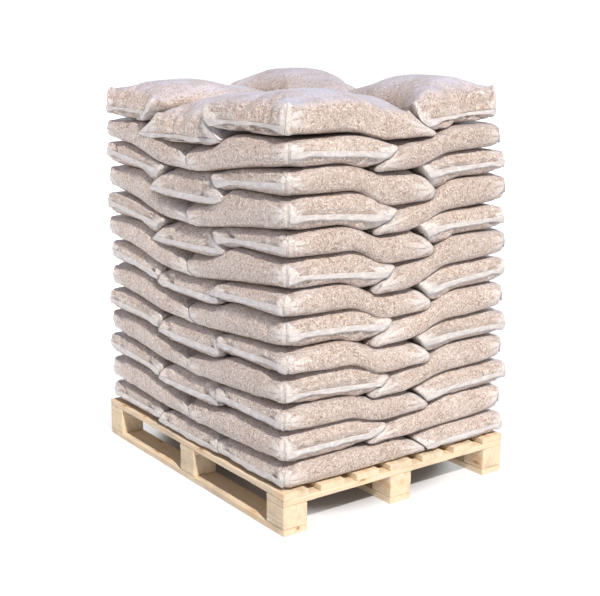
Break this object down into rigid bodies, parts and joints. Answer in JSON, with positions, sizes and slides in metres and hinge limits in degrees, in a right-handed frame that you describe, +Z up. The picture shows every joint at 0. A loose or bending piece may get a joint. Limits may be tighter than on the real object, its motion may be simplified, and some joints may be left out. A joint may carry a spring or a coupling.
{
  "type": "pallet of sacks",
  "caption": "Wooden four-way block pallet stacked with interlocked layers of clear film bags of wood pellets, with fork pockets on all sides.",
  "frame": {"origin": "on the floor, under the middle of the pallet, at the underside of its middle bottom board", "axes": "+X along the pallet's long side, along its deck boards and bottom boards; +Y along its short side, away from the front of the load; +Z up"},
  "size_m": [1.223, 1.029, 1.4628],
  "materials": {
    "softwood": "rough sawn pale softwood, unfinished and dry",
    "pellet_bag": "clear heat-sealed film, tight over tan, cream and brown wood pellets, with a soft sheen and fine wrinkles"
  },
  "bodies": {
    "root": {"bottom_board_front": "softwood", "bottom_board_middle": "softwood", "bottom_board_back": "softwood", "block_front_left": "softwood", "block_front_centre": "softwood", "block_front_right": "softwood", "block_middle_left": "softwood", "block_middle_centre": "softwood", "block_middle_right": "softwood", "block_back_left": "softwood", "block_back_centre": "softwood", "block_back_right": "softwood", "stringer_left": "softwood", "stringer_centre": "softwood", "stringer_right": "softwood", "deck_board_1": "softwood", "deck_board_2": "softwood", "deck_board_3": "softwood", "deck_board_4": "softwood", "deck_board_5": "softwood", "deck_board_6": "softwood", "deck_board_7": "softwood", "sack_layer_01": "pellet_bag", "sack_layer_02": "pellet_bag", "sack_layer_03": "pellet_bag", "sack_layer_04": "pellet_bag", "sack_layer_05": "pellet_bag", "sack_layer_06": "pellet_bag", "sack_layer_07": "pellet_bag", "sack_layer_08": "pellet_bag", "sack_layer_09": "pellet_bag", "sack_layer_10": "pellet_bag", "sack_layer_11": "pellet_bag", "sack_layer_12": "pellet_bag", "sack_layer_13": "pellet_bag"}
  },
  "joints": []
}
